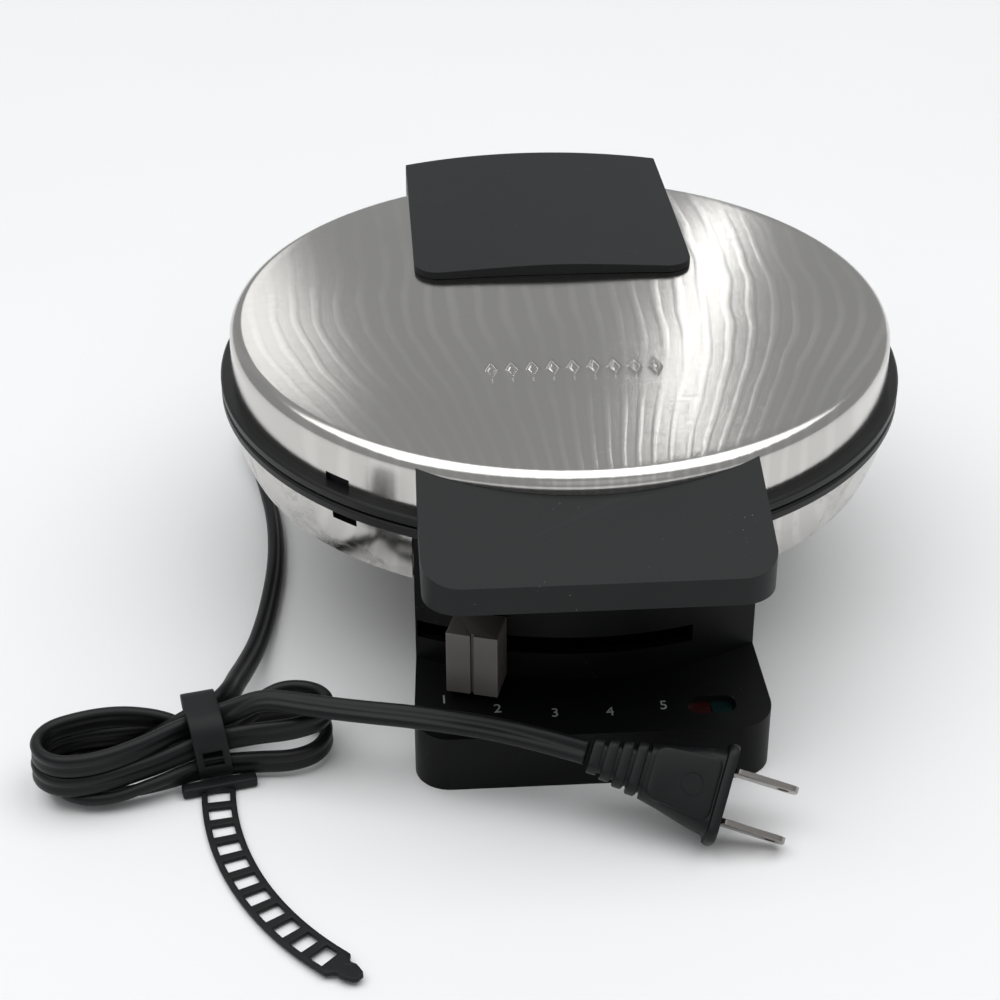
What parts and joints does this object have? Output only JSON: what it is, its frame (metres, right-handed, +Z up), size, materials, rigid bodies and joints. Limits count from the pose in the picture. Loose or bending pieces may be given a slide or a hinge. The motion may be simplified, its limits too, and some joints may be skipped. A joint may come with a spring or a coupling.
{
  "type": "waffle maker",
  "caption": "Round waffle maker with a hinged steel lid, toothed baking plates, a sliding browning lever and a mains lead folded into a tied hank.",
  "frame": {"origin": "on the table, under the axis of the round baking plates, at the bottom centre of the appliance without its mains lead", "axes": "+Z up, +Y towards the hinge at the rear, +X to the right seen from the front handle"},
  "size_m": [0.2392, 0.3024, 0.0845],
  "materials": {
    "brushed_steel": "brushed, satin",
    "skirt_steel": "brushed, satin",
    "plain_steel": "mill finish",
    "charcoal_plastic": "fine moulded texture",
    "black_plastic": "satin moulded",
    "ring_plastic": "satin moulded",
    "knob_metal": "metallic, brushed",
    "coated_cast": "non-stick coating",
    "element_steel": "heat-darkened",
    "ceramic": "unglazed ceramic",
    "wire_red": "silicone insulation",
    "black_rubber": "matt",
    "cord_rubber": "satin PVC",
    "blade_metal": "nickel plated",
    "red_glass": "clear tinted",
    "green_glass": "clear tinted",
    "lamp_glass": "clear"
  },
  "bodies": {
    "root": {"lower_ring": "ring_plastic", "lower_skirt": "skirt_steel", "bottom_cover": "plain_steel", "lower_plate": "coated_cast", "lower_plate_screws": "plain_steel", "lower_element": "element_steel", "lower_element_clips": "plain_steel", "lower_heat_shield": "plain_steel", "thermostat_body": "ceramic", "thermal_fuse": "plain_steel", "bottom_cover_screws": "plain_steel", "control_housing": "black_plastic", "control_base_plate": "black_plastic", "front_feet": "black_rubber", "red_lens": "red_glass", "green_lens": "green_glass", "red_lamp": "lamp_glass", "green_lamp": "lamp_glass", "rear_housing": "black_plastic", "rear_base_plate": "black_plastic", "rear_feet": "black_rubber", "base_plate_screws": "plain_steel", "hinge_pin": "plain_steel", "terminal_block": "ceramic", "base_wiring": "wire_red", "cord_bushing": "black_rubber", "cord_tail": "cord_rubber", "cord_hank": "cord_rubber", "cord_lead": "cord_rubber", "cord_tie": "black_rubber", "plug_relief": "cord_rubber", "plug_body": "cord_rubber", "plug_blades": "blade_metal"},
    "lid": {"lid_cover": "brushed_steel", "upper_ring": "ring_plastic", "upper_plate": "coated_cast", "upper_plate_screws": "plain_steel", "upper_element": "element_steel", "upper_element_clips": "plain_steel", "upper_heat_shield": "plain_steel", "upper_wiring": "wire_red", "front_handle": "charcoal_plastic", "handle_screws": "plain_steel", "hinge_bracket": "black_plastic", "bracket_screws": "plain_steel", "rear_cap": "charcoal_plastic", "rear_cap_screws": "plain_steel"},
    "browning_lever": {"browning_knob": "knob_metal", "control_lever": "plain_steel", "thermostat_shaft": "plain_steel"}
  },
  "joints": [
    {"name": "lid_hinge", "type": "hinge", "parent": "root", "child": "lid", "pos_m": [0, 0.103, 0.058], "axis": [-1, 0, 0], "range_deg": [0, 105]},
    {"name": "browning_slide", "type": "hinge", "parent": "root", "child": "browning_lever", "pos_m": [0, 0, 0.04], "axis": [0, 0, 1], "range_deg": [-3.8, 26.4]}
  ]
}
